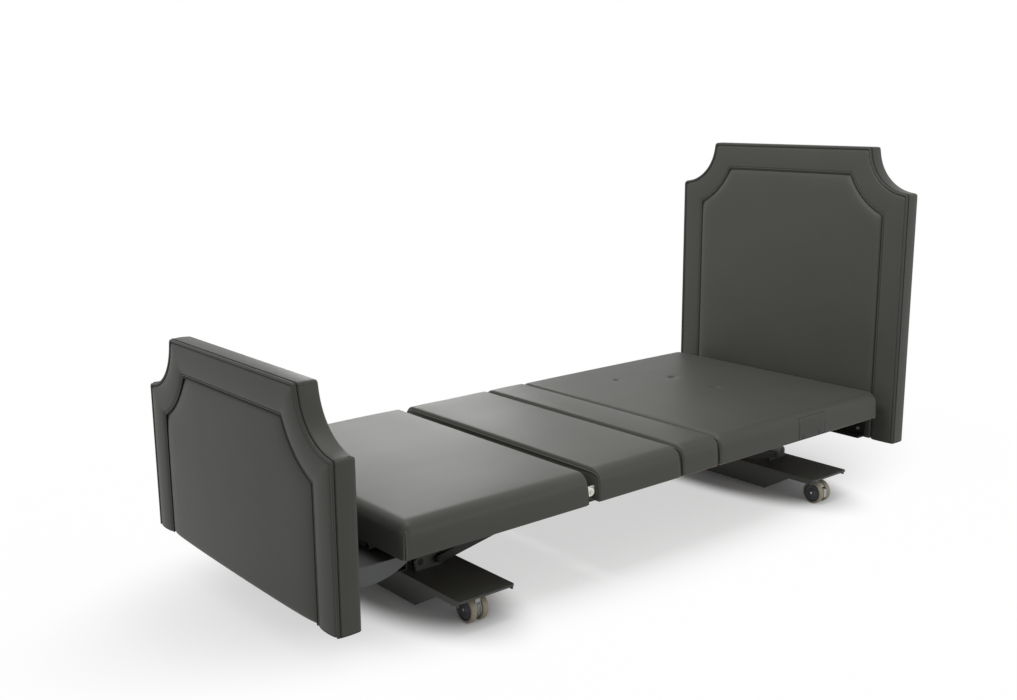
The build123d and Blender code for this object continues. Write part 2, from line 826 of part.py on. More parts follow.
def caster_wheel(name, x, y, direction):
    """Twin-caster wheel: crowned tread, dished outer face and a hub bore."""
    half = wheel_width / 2
    center = y + direction * (wheel_gap / 2 + half)
    bore_z = wheel_radius + axle_radius + running
    tread_z = 2 * wheel_radius
    with BuildPart() as wheel:
        with BuildSketch(Plane.YZ.offset(x)):
            with BuildLine():
                Polyline(
                    (center - half, bore_z),
                    (center - half, tread_z - tread_chamfer),
                    (center - half + tread_chamfer, tread_z),
                    (center + half - tread_chamfer, tread_z),
                    (center + half, tread_z - tread_chamfer),
                    (center + half, bore_z),
                    close=True,
                )
            make_face()
        revolve(axis=Axis((x, y, wheel_radius), (0, 1, 0)))
        outer = center + direction * half
        with BuildSketch(Plane(origin=(x, outer, wheel_radius), x_dir=(1, 0, 0), z_dir=(0, direction, 0))):
            Circle(wheel_radius - dish_rim)
            Circle(axle_radius + hub_rim, mode=Mode.SUBTRACT)
        extrude(amount=-dish_depth, mode=Mode.SUBTRACT)
    keep(wheel, name)


def caster(name, side, y, trail, braked):
    """Swivel caster: hood, stem and axle pins, two wheels and an optional brake pedal."""
    swivel_x = side * stem_x
    axle_x = side * (stem_x + trail)
    outward = 1 if trail > 0 else -1
    facing = side * outward
    with BuildPart() as hood:
        with BuildSketch(Plane.XZ.offset(-(y + hood_half))):
            with Locations((axle_x, wheel_radius + hood_drop)):
                Circle(hood_radius)
            block_x = sorted((axle_x, swivel_x - facing * hood_block_reach))
            with Locations(((block_x[0] + block_x[1]) / 2, sum(hood_block) / 2)):
                Rectangle(block_x[1] - block_x[0], hood_block[1] - hood_block[0])
        extrude(amount=2 * hood_half)
        with BuildSketch(Plane.XY.offset(hood_boss[0])):
            with Locations((swivel_x, y)):
                Circle(hood_boss_radius)
        extrude(amount=hood_boss[1] - hood_boss[0])
        with BuildSketch(Plane.XZ.offset(-(y + hood_half))):
            with Locations((axle_x, wheel_radius)):
                Circle(axle_radius + running)
        extrude(amount=2 * hood_half, mode=Mode.SUBTRACT)
        with BuildSketch(Plane.XY.offset(hood_boss[0] - stem_seat)):
            with Locations((swivel_x, y)):
                Circle(stem_radius + running)
        extrude(amount=stem_hole_depth, mode=Mode.SUBTRACT)
        if braked:
            window = sorted(axle_x + facing * reach for reach in window_x)
            low = (window[0], y - hood_half, window_z[0])
            block(low, (window[1], y + hood_half, window_z[1]), Mode.SUBTRACT)
    keep(hood, f"{name}_hood")
    with BuildPart() as pins:
        stem_low = hood_boss[0] - stem_seat
        with BuildSketch(Plane.XY.offset(stem_low)):
            with Locations((swivel_x, y)):
                Circle(stem_radius)
        extrude(amount=base_top - base_plate + stem_top - stem_low)
        reach = wheel_gap / 2 + wheel_width
        with BuildSketch(Plane.XZ.offset(-(y + reach))):
            with Locations((axle_x, wheel_radius)):
                Circle(axle_radius)
        extrude(amount=2 * reach)
    keep(pins, f"{name}_pins")
    caster_wheel(f"{name}_wheel_a", axle_x, y, -1)
    caster_wheel(f"{name}_wheel_b", axle_x, y, 1)
    if braked:
        with BuildPart() as pedal:
            pivot_x = axle_x + facing * pedal_pivot
            x0, x1 = sorted(axle_x + facing * reach for reach in pedal_x)
            half = pedal_width / 2
            block((x0, y - half, pedal_z[0]), (x1, y + half, pedal_z[1]))
            fillet(pedal.edges().filter_by(Axis.Y), pedal_corner)
            low = (pivot_x - pedal_slot_half, y - half - 1, pedal_slot_z[0])
            block(low, (pivot_x + pedal_slot_half, y + half + 1, pedal_slot_z[1]), Mode.SUBTRACT)
        keep(pedal, f"{name}_brake_pedal")


for side, label in ((1, "left"), (-1, "right")):
    caster(f"foot_{label}_caster", side, foot_caster_y, -caster_trail, braked=False)
    caster(f"head_{label}_caster", side, head_caster_y, caster_trail, braked=True)
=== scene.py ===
import json
from math import asin, cos, exp, pi, radians, sin, sqrt, tan

import bmesh
import bpy
from mathutils import Matrix, Vector
from mathutils.bvhtree import BVHTree


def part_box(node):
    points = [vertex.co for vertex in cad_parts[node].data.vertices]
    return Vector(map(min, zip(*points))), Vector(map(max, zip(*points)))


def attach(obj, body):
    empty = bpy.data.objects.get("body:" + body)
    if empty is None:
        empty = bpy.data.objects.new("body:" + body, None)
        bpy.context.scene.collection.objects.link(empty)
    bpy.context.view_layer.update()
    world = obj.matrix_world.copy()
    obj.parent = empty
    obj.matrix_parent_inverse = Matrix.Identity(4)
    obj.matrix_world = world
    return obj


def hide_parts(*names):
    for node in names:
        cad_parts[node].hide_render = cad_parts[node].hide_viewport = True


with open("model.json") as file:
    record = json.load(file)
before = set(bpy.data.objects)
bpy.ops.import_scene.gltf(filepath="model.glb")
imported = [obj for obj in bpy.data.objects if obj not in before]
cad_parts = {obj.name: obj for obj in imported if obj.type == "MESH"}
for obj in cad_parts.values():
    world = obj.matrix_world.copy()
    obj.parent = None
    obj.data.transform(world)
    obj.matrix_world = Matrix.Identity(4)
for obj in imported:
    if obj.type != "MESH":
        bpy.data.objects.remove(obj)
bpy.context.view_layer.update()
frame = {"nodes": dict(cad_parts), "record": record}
nodes = frame["nodes"]
print("frame loaded:", len(nodes), "nodes")


def addObject(name, data):
    thing = bpy.data.objects.new(name, data)
    bpy.context.scene.collection.objects.link(thing)
    return thing


# camera, set where a person would stand beside the foot end

camera = {
    "place": (2.7222, -2.4854, 1.3485),
    "turn": -50.468,      # degrees from the head direction towards the visible side
    "tilt": -12.072,
    "roll": -0.441,
    "lens": 41.175,
    "sensor": 36.0,
    "farthest": 60,
}


def makeCamera(spec):
    turn, tilt, roll = (radians(spec[key]) for key in ("turn", "tilt", "roll"))
    ahead = Vector((sin(turn) * cos(tilt), cos(turn) * cos(tilt), sin(tilt)))
    level = Vector((cos(turn), -sin(turn), 0))
    above = level.cross(ahead)
    right = level * cos(roll) + above * sin(roll)
    up = above * cos(roll) - level * sin(roll)
    lens = bpy.data.cameras.new("camera")
    lens.lens, lens.sensor_width = spec["lens"], spec["sensor"]
    lens.clip_end = spec["farthest"]
    eye = addObject("camera", lens)
    eye.matrix_world = Matrix((right, up, -ahead)).transposed().to_4x4()
    eye.location = spec["place"]
    bpy.context.scene.camera = eye


makeCamera(camera)
bpy.context.scene.view_settings.view_transform = "Standard"


# shader writing: a socket that takes plain arithmetic, and one way to add any node

class Value:
    def __init__(self, tree, socket):
        self.tree, self.socket = tree, socket

    def maths(self, operation, first, second):
        return addNode(self.tree, "Math", {"operation": operation}, {0: first, 1: second})

    def __add__(self, other):
        return self.maths("ADD", self, other)

    def __radd__(self, other):
        return self.maths("ADD", other, self)

    def __sub__(self, other):
        return self.maths("SUBTRACT", self, other)

    def __rsub__(self, other):
        return self.maths("SUBTRACT", other, self)

    def __mul__(self, other):
        return self.maths("MULTIPLY", self, other)

    def __rmul__(self, other):
        return self.maths("MULTIPLY", other, self)

    def __gt__(self, other):
        return self.maths("GREATER_THAN", self, other)


def addNode(tree, kind, settings=None, inputs=None, output=0):
    # stops are (place, grey) pairs of a ramp; an input is a number, a colour or a Value
    node = tree.nodes.new("ShaderNode" + kind)
    for key, value in (settings or {}).items():
        if key == "stops":
            for index, (place, grey) in enumerate(value):
                stops = node.color_ramp.elements
                stop = stops[index] if index < 2 else stops.new(place)
                stop.position, stop.color = place, (grey, grey, grey, 1)
        else:
            setattr(node, key, value)
    for key, value in (inputs or {}).items():
        if isinstance(value, Value):
            tree.links.new(value.socket, node.inputs[key])
        else:
            node.inputs[key].default_value = value
    return Value(tree, node.outputs[output])


def linear(grey):
    return grey / 12.92 if grey <= 0.04045 else ((grey + 0.055) / 1.055) ** 2.4


def paint(red, green, blue):
    return tuple(linear(value / 255) for value in (red, green, blue)) + (1,)


def toned(colour, tone):
    return tuple(min(1, value * tone) for value in colour[:3]) + (1,)


def mixColour(tree, mask, first, second):
    settings = {"data_type": "RGBA"}
    return addNode(tree, "Mix", settings, {0: mask, 6: first, 7: second}, 2)


def noiseOn(tree, place, scale, detail=2.0, roughness=0.5, distortion=0.0):
    return addNode(tree, "TexNoise", None, {
        "Vector": place, "Scale": scale, "Detail": detail,
        "Roughness": roughness, "Distortion": distortion})


def stretched(tree, place, scale):
    return addNode(tree, "VectorMath", {"operation": "MULTIPLY"}, {0: place, 1: scale})


def wornEdges(tree, first, last):
    # 0 on flat faces, 1 on the sharpest corners; worn edges on the leather, painted edge highlight
    # on the powder coat
    corner = addNode(tree, "NewGeometry", output="Pointiness")
    return addNode(tree, "ValToRGB", {"stops": ((first, 0), (last, 1))}, {0: corner})


def newMaterial(name, fixed):
    # fixed: sockets of the shader that are the same all over
    material = bpy.data.materials.new(name)
    material.use_nodes = True
    tree = material.node_tree
    shader = tree.nodes["Principled BSDF"]
    for key, value in fixed.items():
        shader.inputs[key].default_value = value
    place = addNode(tree, "TexCoord", output="Object")
    return material, tree, shader, place


def feed(tree, value, socket):
    tree.links.new(value.socket, socket)


def bumped(tree, height, strength, distance, under=None):
    inputs = {"Height": height, "Strength": strength, "Distance": distance}
    if under:
        inputs["Normal"] = under
    return addNode(tree, "Bump", None, inputs)


leatherLook = {
    "dark": paint(56, 57, 53),
    "light": paint(64, 65, 61),
    "rub": paint(82, 83, 78),
    "grainPerMetre": 640,
    "creasePerMetre": 198.4,
    "grainDepth": 0.00025,
    "foldPerMetre": 5.5,
    "foldDepth": 0.004,
    "edgeWearAndHighlight": 0.35,
    "roughness": 0.38,
}


def coatedLeather(name, tone=1.0, sheen=0.06):
    look = leatherLook
    material, tree, shader, place = newMaterial(name, {
        "IOR": 1.5, "Specular IOR Level": 0.2, "Specular Tint": (0.97, 0.98, 0.92, 1),
        "Sheen Weight": sheen, "Sheen Roughness": 0.45, "Sheen Tint": paint(190, 190, 184)})
    dark, light, rub = (toned(look[key], tone) for key in ("dark", "light", "rub"))
    pebbles = addNode(tree, "TexVoronoi", {"feature": "SMOOTH_F1"}, {
        "Vector": place, "Scale": look["grainPerMetre"], "Smoothness": 0.35,
        "Randomness": 0.9})
    creases = addNode(tree, "TexVoronoi", {"feature": "DISTANCE_TO_EDGE"}, {
        "Vector": place, "Scale": look["creasePerMetre"]})
    clouds = noiseOn(tree, place, 3.1, 4.0, 0.55, 0.4)
    folds = noiseOn(tree, stretched(tree, place, (1, 0.45, 1)), look["foldPerMetre"], 1.5)
    colour = mixColour(tree, clouds, dark, light)
    colour = mixColour(tree, wornEdges(tree, 0.5, 0.56) * look["edgeWearAndHighlight"], colour, rub)
    feed(tree, colour, shader.inputs["Base Color"])
    feed(tree, look["roughness"] + clouds * 0.10 + pebbles * 0.06, shader.inputs["Roughness"])
    grain = bumped(tree, pebbles * 0.7 + creases * 0.6, 0.22, look["grainDepth"])
    soft = bumped(tree, folds, 0.5, look["foldDepth"], grain)
    feed(tree, soft, shader.inputs["Normal"])
    return material


# the coat's sharp edges are lightened towards a paler tone: a painted edge highlight
coatLook = {"peelPerMetre": 900.0, "peelDepth": 0.0003, "hazePerMetre": 9.0, "edgeWearAndHighlight": 0.5,
            "edgeHighlightTone": 1.9}


def powderCoat(name, deep, pale, rough=0.42, shine=0.5):
    material, tree, shader, place = newMaterial(name, {"Specular IOR Level": shine})
    look = coatLook
    peel = noiseOn(tree, place, look["peelPerMetre"], 2.0)
    haze = noiseOn(tree, place, look["hazePerMetre"], 4.0, 0.6)
    colour = mixColour(tree, haze, deep, pale)
    # painted highlight: sharp edges lightened towards the pale tone made paler still
    edgeHighlight = wornEdges(tree, 0.52, 0.6) * look["edgeWearAndHighlight"]
    colour = mixColour(tree, edgeHighlight, colour, toned(pale, look["edgeHighlightTone"]))
    feed(tree, colour, shader.inputs["Base Color"])
    feed(tree, haze * 0.12 + (rough - 0.06), shader.inputs["Roughness"])
    feed(tree, bumped(tree, peel, 0.25, look["peelDepth"]), shader.inputs["Normal"])
    return material


steelLook = {"deep": paint(172, 173, 175), "pale": paint(205, 205, 203), "brushPerMetre": 60.0,
             "brushDepth": 0.0002, "stainPerMetre": 40.0, "roughness": 0.22}


def brightSteel(name):
    material, tree, shader, place = newMaterial(name, {"Metallic": 1.0})
    look = steelLook
    brushed = noiseOn(tree, stretched(tree, place, (1, 30, 30)), look["brushPerMetre"], 3.0)
    stain = noiseOn(tree, place, look["stainPerMetre"], 3.0)
    colour = mixColour(tree, stain, look["deep"], look["pale"])
    feed(tree, colour, shader.inputs["Base Color"])
    feed(tree, look["roughness"] + brushed * 0.2, shader.inputs["Roughness"])
    feed(tree, bumped(tree, brushed, 0.15, look["brushDepth"]), shader.inputs["Normal"])
    return material


plasticLook = {"pitsPerMetre": 1500.0, "pitDepth": 0.0002, "hazePerMetre": 22.0}


def mouldedPlastic(name, deep, pale, rough=0.45):
    material, tree, shader, place = newMaterial(name, {"IOR": 1.46})
    look = plasticLook
    pits = addNode(tree, "TexVoronoi", {"feature": "F1"}, {
        "Vector": place, "Scale": look["pitsPerMetre"]})
    haze = noiseOn(tree, place, look["hazePerMetre"], 3.0)
    feed(tree, mixColour(tree, haze, deep, pale), shader.inputs["Base Color"])
    feed(tree, haze * 0.1 + pits * 0.08 + (rough - 0.08), shader.inputs["Roughness"])
    feed(tree, bumped(tree, pits, 0.2, look["pitDepth"]), shader.inputs["Normal"])
    return material


plyLook = {"deep": paint(142, 112, 78), "pale": paint(181, 150, 110), "glue": paint(112, 82, 54),
           "ringsPerMetre": 14.0, "pliesPerMetre": 90.0, "fibrePerMetre": 24.0,
           "fibreDepth": 0.0004}


def birchPly(name):
    material, tree, shader, place = newMaterial(name, {"Specular IOR Level": 0.35})
    look = plyLook
    rings = addNode(tree, "TexWave", {"wave_type": "BANDS", "bands_direction": "X"}, {
        "Vector": stretched(tree, place, (1, 0.06, 1)), "Scale": look["ringsPerMetre"],
        "Distortion": 7.0, "Detail": 3.0, "Detail Scale": 1.2})
    fibre = noiseOn(tree, stretched(tree, place, (30, 1, 30)), look["fibrePerMetre"], 3.0)
    plies = addNode(tree, "TexWave", {"wave_type": "BANDS", "bands_direction": "Z"}, {
        "Vector": place, "Scale": look["pliesPerMetre"]})
    warm = mixColour(tree, rings * 0.7 + fibre * 0.3, look["deep"], look["pale"])
    colour = mixColour(tree, plies * 0.25, warm, look["glue"])
    feed(tree, colour, shader.inputs["Base Color"])
    feed(tree, 0.5 + fibre * 0.2, shader.inputs["Roughness"])
    feed(tree, bumped(tree, fibre + rings, 0.2, look["fibreDepth"]), shader.inputs["Normal"])
    return material


leather = coatedLeather("charcoalLeatherette")
wrapLeather = coatedLeather("charcoalWrap", 0.92)
weltLeather = coatedLeather("weltLeatherette", 0.72, 0.05)
# near-black cords: stitching, and the painted shade of the grooves beside each welt
seamThreadAndGrooveShade = mouldedPlastic("seamThreadAndGrooveShade", paint(22, 22, 22), paint(34, 34, 33), 0.7)
finish = {
    "upholstery": leather,
    "plywood": birchPly("birchPly"),
    "frame_paint": powderCoat("blackPowderCoat", paint(40, 41, 39), paint(50, 51, 48), 0.40, 0.35),
    "bracket_paint": powderCoat("greyPowderCoat", paint(50, 51, 52), paint(58, 59, 59), 0.45),
    "bright_steel": brightSteel("zincSteel"),
    "drive_plastic": mouldedPlastic("driveHousing", paint(30, 31, 33), paint(42, 43, 45)),
    "rubber": mouldedPlastic("bumperRubber", paint(24, 24, 24), paint(34, 34, 33), 0.72),
    "caster_grey": mouldedPlastic("casterGrey", paint(146, 147, 145), paint(164, 164, 160)),
    "caster_wheel": mouldedPlastic("tanTyre", paint(116, 108, 93), paint(136, 128, 111), 0.55),
}
# near-black coat: the dark finish of the pins and head bracket, and painted shade that sinks the
# lift arms, tie links and main frame into the shadow under the deck
blackSteelAndShade = powderCoat("nearBlackSteelAndShade", paint(15, 15, 15), paint(21, 21, 20), 0.45, 0.25)
paleCoat = powderCoat("paleHingeCoat", paint(176, 174, 165), paint(196, 194, 184), 0.4)
discPlastic = mouldedPlastic("wheelDisc", paint(44, 46, 48), paint(58, 60, 62))
rimPlastic = mouldedPlastic("wheelRim", paint(22, 23, 24), paint(30, 31, 32))
print("finishes made")


# mesh helpers

def newPiece(name, points, faces, material, body, swaps=()):
    mesh = bpy.data.meshes.new(name)
    mesh.from_pydata([tuple(point) for point in points], [], faces)
    mesh.validate()
    work = bmesh.new()
    work.from_mesh(mesh)
    bmesh.ops.recalc_face_normals(work, faces=work.faces)
    work.to_mesh(mesh)
    work.free()
    mesh.shade_smooth()
    mesh.materials.append(material)
    piece = addObject(name, mesh)
    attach(piece, body)
    if swaps:
        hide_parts(*swaps)
    return piece


def loft(rings, around=True, along=False, caps=True):
    # rings of equal length, joined side by side
    count = len(rings[0])
    points = [point for ring in rings for point in ring]
    faces = []
    steps = len(rings) if along else len(rings) - 1
    for row in range(steps):
        here, there = row * count, (row + 1) % len(rings) * count
        for column in range(count if around else count - 1):
            after = (column + 1) % count
            faces.append((here + column, here + after, there + after, there + column))
    if caps and not along:
        faces.append(tuple(reversed(range(count))))
        faces.append(tuple(range((len(rings) - 1) * count, len(rings) * count)))
    return points, faces


def fan(rings, centre):
    # closes the last ring on a middle point
    points, faces = loft(rings, caps=False)
    count, start = len(rings[0]), (len(rings) - 1) * len(rings[0])
    points.append(centre)
    for column in range(count):
        faces.append((start + column, start + (column + 1) % count, len(points) - 1))
    return points, faces


def tube(path, radius, sides, closed=False):
    # round cord along a path, with its frame carried from point to point
    rings, spare = [], Vector((0.3, 0.9, 0.31))
    count = len(path)
    for index, point in enumerate(path):
        before = path[index - 1] if index or closed else path[0]
        after = path[(index + 1) % count] if index < count - 1 or closed else path[-1]
        run = (after - before).normalized()
        spare = (spare - run * spare.dot(run)).normalized()
        other = run.cross(spare)
        rings.append([point + (spare * cos(2 * pi * step / sides)
                               + other * sin(2 * pi * step / sides)) * radius
                      for step in range(sides)])
    return loft(rings, along=closed)


def cord(name, path, radius, material, body, sides=8, closed=False):
    points, faces = tube(path, radius, sides, closed)
    newPiece(name, points, faces, material, body)


def smoothStep(low, high, value):
    part = min(1, max(0, (value - low) / (high - low)))
    return part * part * (3 - 2 * part)


def eased(count):
    # 0 to 1, closer together at both ends
    return [(1 - cos(pi * step / count)) / 2 for step in range(count + 1)]


def relaxed(path, rounds, closed=False):
    for _ in range(rounds):
        fresh = list(path)
        for index in range(0 if closed else 1, len(path) if closed else len(path) - 1):
            pair = (path[index - 1] + path[(index + 1) % len(path)]) / 2
            fresh[index] = (path[index] + pair) / 2
        path = fresh
    return path


clothLook = {"frames": 20, "quality": 4, "mass": 0.4, "bending": 0.6}


def settle(piece, pressure, cap, free, stiffness=30, evenings=14):
    # foam pushes the cover out; every move is capped, evened out over its neighbours
    # and scaled by free(point), which is 0 where the cover is stapled or stitched down
    start = [vertex.co.copy() for vertex in piece.data.vertices]
    cloth = piece.modifiers.new("swell", "CLOTH")
    cloth.settings.quality = clothLook["quality"]
    cloth.settings.mass = clothLook["mass"]
    cloth.settings.tension_stiffness = stiffness
    cloth.settings.compression_stiffness = stiffness
    cloth.settings.shear_stiffness = stiffness / 2
    cloth.settings.bending_stiffness = clothLook["bending"]
    cloth.settings.use_pressure = True
    cloth.settings.uniform_pressure_force = pressure
    cloth.settings.effector_weights.gravity = 0
    last = clothLook["frames"]
    cloth.point_cache.frame_start, cloth.point_cache.frame_end = 1, last
    for step in range(1, last + 1):
        bpy.context.scene.frame_set(step)
    shown = piece.evaluated_get(bpy.context.evaluated_depsgraph_get())
    moves = [after.co - before for before, after in zip(start, shown.data.vertices)]
    moves = [move * min(1, cap / max(move.length, 1e-9)) for move in moves]
    near = [[] for _ in moves]
    for edge in piece.data.edges:
        first, second = edge.vertices
        near[first].append(second)
        near[second].append(first)
    for _ in range(evenings):
        moves = [(move + sum((moves[index] for index in others), Vector()) / len(others)) / 2
                 for move, others in zip(moves, near)]
    for vertex, before, move in zip(piece.data.vertices, start, moves):
        vertex.co = before + move * free(before)
    piece.modifiers.remove(cloth)
    bpy.context.scene.frame_set(1)
    piece.data.update()


def boxOfBoth(first, second):
    low = Vector(map(min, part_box(first)[0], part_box(second)[0]))
    return low, Vector(map(max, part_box(first)[1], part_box(second)[1]))


# end boards

boardShape = {
    "cut": 0.155,          # radius of the hollow corners
    "border": 0.098,
    "seat": 0.046,         # depth at which the padded frame and the inset meet the core
    "insetLap": 0.005,     # the inset runs this far under the frame's inner edge
    "insetSink": 0.013,    # depth of its edge below the front face
    "sideSteps": 56,
    "arcSteps": 30,
    "topSteps": 60,
    "rounding": 7,         # how far the horns of the outline are softened
}
rolls = (0, 0.0006, 0.002, 0.0045, 0.008, 0.0125, 0.018, 0.025, 0.034, 0.045, 0.058, 0.072)
insetSwell = {"pressure": 0.8, "cap": 0.001, "soft": 0.12, "stiffness": 40, "evenings": 150}
weltLook = {"radius": 0.0042, "innerShare": 0.86, "outer": (0.0040, 0.0050),
            "inner": (0.0068, 0.0060)}       # inset and depth
footLook = {"crown": 0.0075, "insetCrown": 0.014, "insetRound": 0.025, "gapBelow": 0.0}
headLook = {"crown": 0.0035, "insetCrown": 0.010, "insetRound": 0.016, "gapBelow": 0.088}


def boardOutline(box, inset, below=0.0):
    # over the board from its lower left corner to its lower right one, in x and z
    (left, _, low), (right, _, high) = box
    half, cut = (right - left) / 2, boardShape["cut"] + inset
    reach = sqrt(cut * cut - inset * inset)
    side = half - inset
    path = [Vector((side, low + below + (high - reach - low - below) * part))
            for part in eased(boardShape["sideSteps"])]
    turn = asin(inset / cut)
    first, last = -pi / 2 - turn, turn - pi
    for step in range(1, boardShape["arcSteps"]):
        angle = first + (last - first) * step / boardShape["arcSteps"]
        path.append(Vector((half + cut * cos(angle), high + cut * sin(angle))))
    top = [Vector(((half - reach) * (1 - 2 * part), high - inset))
           for part in eased(boardShape["topSteps"])]
    other = [Vector((-point.x, point.y)) for point in reversed(path)]
    return relaxed(path + top + other, boardShape["rounding"])


def turned(path, front, depth):
    # stands an outline up at a depth behind the front face
    return [Vector((point.x, front + depth, point.y)) for point in path]


def quarter(centre, radius, first, last, steps=5):
    return [(centre[0] + radius * cos(radians(first + (last - first) * step / steps)),
             centre[1] + radius * sin(radians(first + (last - first) * step / steps)))
            for step in range(steps + 1)]


frameShape = {
    "backRound": 0.010,    # rolled edge at the back
    "backLip": 0.013,      # how far the cover reaches round it
    "bandStart": 0.011,
    "bandSwell": 0.0012,   # slack of the narrow band round the side
    "faceStart": 0.0095,   # face between the two welts
    "faceEnd": 0.0090,
    "faceDepth": 0.0052,
    "innerEdge": 0.0060,
    "skin": 0.004,
    "tuck": 0.03,          # share by which the cover closes at the feet
    "tuckLift": 0.003,
}


def borderSection(look, depth):
    # inward distance and depth behind the front face, round the L of the padded frame
    shape, width, seat = frameShape, boardShape["border"], boardShape["seat"]
    turn, lip, skin = shape["backRound"], shape["backLip"], shape["skin"]
    section = [(lip, depth - 0.001)]
    section += quarter((turn, depth - turn), turn, 90, 180)
    for step in range(1, 8):
        part = step / 8
        along = depth - turn - (depth - turn - shape["bandStart"]) * part
        section.append((-shape["bandSwell"] * sin(pi * part), along))
    section += [(0.0002, 0.0105), (0.0022, 0.0088), (0.0060, 0.0086), (0.0088, 0.0066)]
    steps, face = 22, width - shape["faceStart"] - shape["faceEnd"]
    for step in range(steps + 1):
        lift = sin(pi * step / steps) ** 0.4
        section.append((shape["faceStart"] + face * step / steps,
                        shape["faceDepth"] - look["crown"] * lift))
    inner = width - shape["innerEdge"]
    section += [(inner - 0.0012, 0.0085), (inner, 0.014), (inner, seat), (skin, seat)]
    section += [(skin, depth - 0.006), (lip, depth - 0.004)]
    return section


def borderPiece(name, box, look, body, swaps):
    front, back = box[0][1], box[1][1]
    section = borderSection(look, back - front)
    stations = [turned(boardOutline(box, inward), front, depth) for inward, depth in section]
    rings = [list(ring) for ring in zip(*stations)]
    for end, sign in ((0, 1), (-1, -1)):                 # tucked under at the feet
        middle = sum(rings[end], Vector()) / len(rings[end])
        tuck = [point + (middle - point) * frameShape["tuck"] for point in rings[end]]
        for point in rings[end]:
            point.z += frameShape["tuckLift"]
        rings = [tuck] + rings if sign > 0 else rings + [tuck]
    points, faces = loft(rings)
    return newPiece(name, points, faces, leather, body, swaps)


def closedOutline(box, inset, below, lowSteps=46):
    path = boardOutline(box, inset, below)
    first, last = path[0], path[-1]
    floor = [last + (first - last) * part for part in eased(lowSteps)[1:-1]]
    return path + floor


def pillowRise(box, low, x, z, soft):
    # 0 at the edge of the inset, 1 well inside it, with no ridges between
    (_, _, bottom), (right, _, top) = box
    edge = boardShape["border"] - boardShape["insetLap"]
    reach = boardShape["cut"] + edge
    away = [right - edge - x, x + right - edge, top - edge - z]
    away += [Vector((x - side * right, z - top)).length - reach for side in (-1, 1)]
    rise = 1 - exp(-max(0, z - bottom - low) / min(soft, 0.004))      # tight along the foot
    for distance in away:
        rise *= 1 - exp(-max(0, distance) / soft)
    return rise


def insetPiece(name, box, look, body, swaps):
    front, low = box[0][1], look["gapBelow"]
    edge, deep = boardShape["border"] - boardShape["insetLap"], boardShape["insetSink"]

    def loopAt(inward, depth):
        outline = relaxed(closedOutline(box, edge + inward, low + inward), 3, True)
        return turned(outline, front, depth)

    seat = boardShape["seat"]
    back = [loopAt(0.012, seat), loopAt(0.003, seat), loopAt(0.0, seat - 0.002)]
    middle = Vector((0, front, (box[0][2] + box[1][2] + low) / 2))
    loops = [loopAt(inward, 0) for inward in rolls]
    rim, steps = loops[-1], 16
    for step in range(1, steps):
        loops.append([point.lerp(middle, step / steps) for point in rim])

    def lifted(point):
        roll = pillowRise(box, low, point.x, point.z, look["insetRound"]) ** 0.5
        swell = pillowRise(box, low, point.x, point.z, 0.16)
        depth = deep - (deep + 0.003) * roll - look["insetCrown"] * swell
        return Vector((point.x, front + depth, point.z))

    loops = back + [[lifted(point) for point in loop] for loop in loops]
    points, faces = fan(loops, lifted(middle))
    faces.append(tuple(reversed(range(len(loops[0])))))
    return newPiece(name, points, faces, leather, body, swaps)


def backCover(name, box, body, swaps):
    # flat padded back, tucked inside the frame's lip
    back = box[1][1]
    rows = [(0.0045, 0.0220), (0.0045, 0.0050), (0.0075, 0.0016), (0.0125, 0.0004),
            (0.020, -0.0008), (0.045, -0.0024), (0.075, -0.0030)]
    loops = [turned(closedOutline(box, inward, max(0.001, inward - 0.004)), back, -depth)
             for inward, depth in rows]
    middle = Vector((0, back + 0.0045, (box[0][2] + box[1][2]) / 2))
    rim, steps = loops[-1], 12
    for step in range(1, steps):
        part = step / steps
        loops.append([Vector((point.x * (1 - part), point.y + 0.0015 * part,
                              point.z + (middle.z - point.z) * part)) for point in rim])
    points, faces = fan(loops, middle)
    faces.append(tuple(reversed(range(len(loops[0])))))
    return newPiece(name, points, faces, wrapLeather, body, swaps)


def weltPiece(name, box, inset, depth, below, body, radius):
    path = turned(boardOutline(box, inset, below), box[0][1], depth)
    cord(name, path, radius, weltLeather, body, 10)


seamLook = {"radius": 0.0018, "low": 0.001}       # low: start above the feet


def seamLines(prefix, box, look, body):
    # dark lines on both sides of each welt: painted shade of the seam grooves, laid as thin
    # near-black cords
    width, low = boardShape["border"], seamLook["low"]
    inner = max(low, look["gapBelow"])
    for label, inset, depth, below in (("_edge_seam", 0.0092, 0.0052, low),
                                       ("_band_seam", 0.0006, 0.0108, low),
                                       ("_panel_seam", width - 0.0112, 0.0050, inner),
                                       ("_inset_seam", width - 0.0012, 0.0030, inner)):
        path = turned(boardOutline(box, inset, below), box[0][1], depth)
        cord(prefix + label, path, seamLook["radius"], seamThreadAndGrooveShade, body)


packerLook = {"thick": 0.050, "spacing": 0.02, "round": 0.006, "lap": 0.004}


def packerCover(name, box, look, body):
    # padded block below the inset of the headboard
    (left, front, low), (right, _, _) = box
    inner, bend = boardShape["border"] - frameShape["innerEdge"], packerLook["round"]
    top = low + look["gapBelow"] + packerLook["lap"]
    block = (Vector((left + inner, front + 0.0004, low + seamLook["low"])),
             Vector((right - inner, front + packerLook["thick"], top)))
    points, faces = boxShell([gridLines(block[0][axis], block[1][axis], bend, bend,
                                        packerLook["spacing"]) for axis in range(3)])
    rounds = dict.fromkeys(("sideRound", "endRound", "cornerRound", "footRound"), bend)
    points = [padSurface(point, block, rounds) for point in points]
    newPiece(name, points, faces, wrapLeather, body)


hornSeam = {"radius": 0.0016, "sides": 8, "steps": 12, "start": 0.011, "end": 0.013,
            "sunk": 0.0006, "outside": 0.0004}


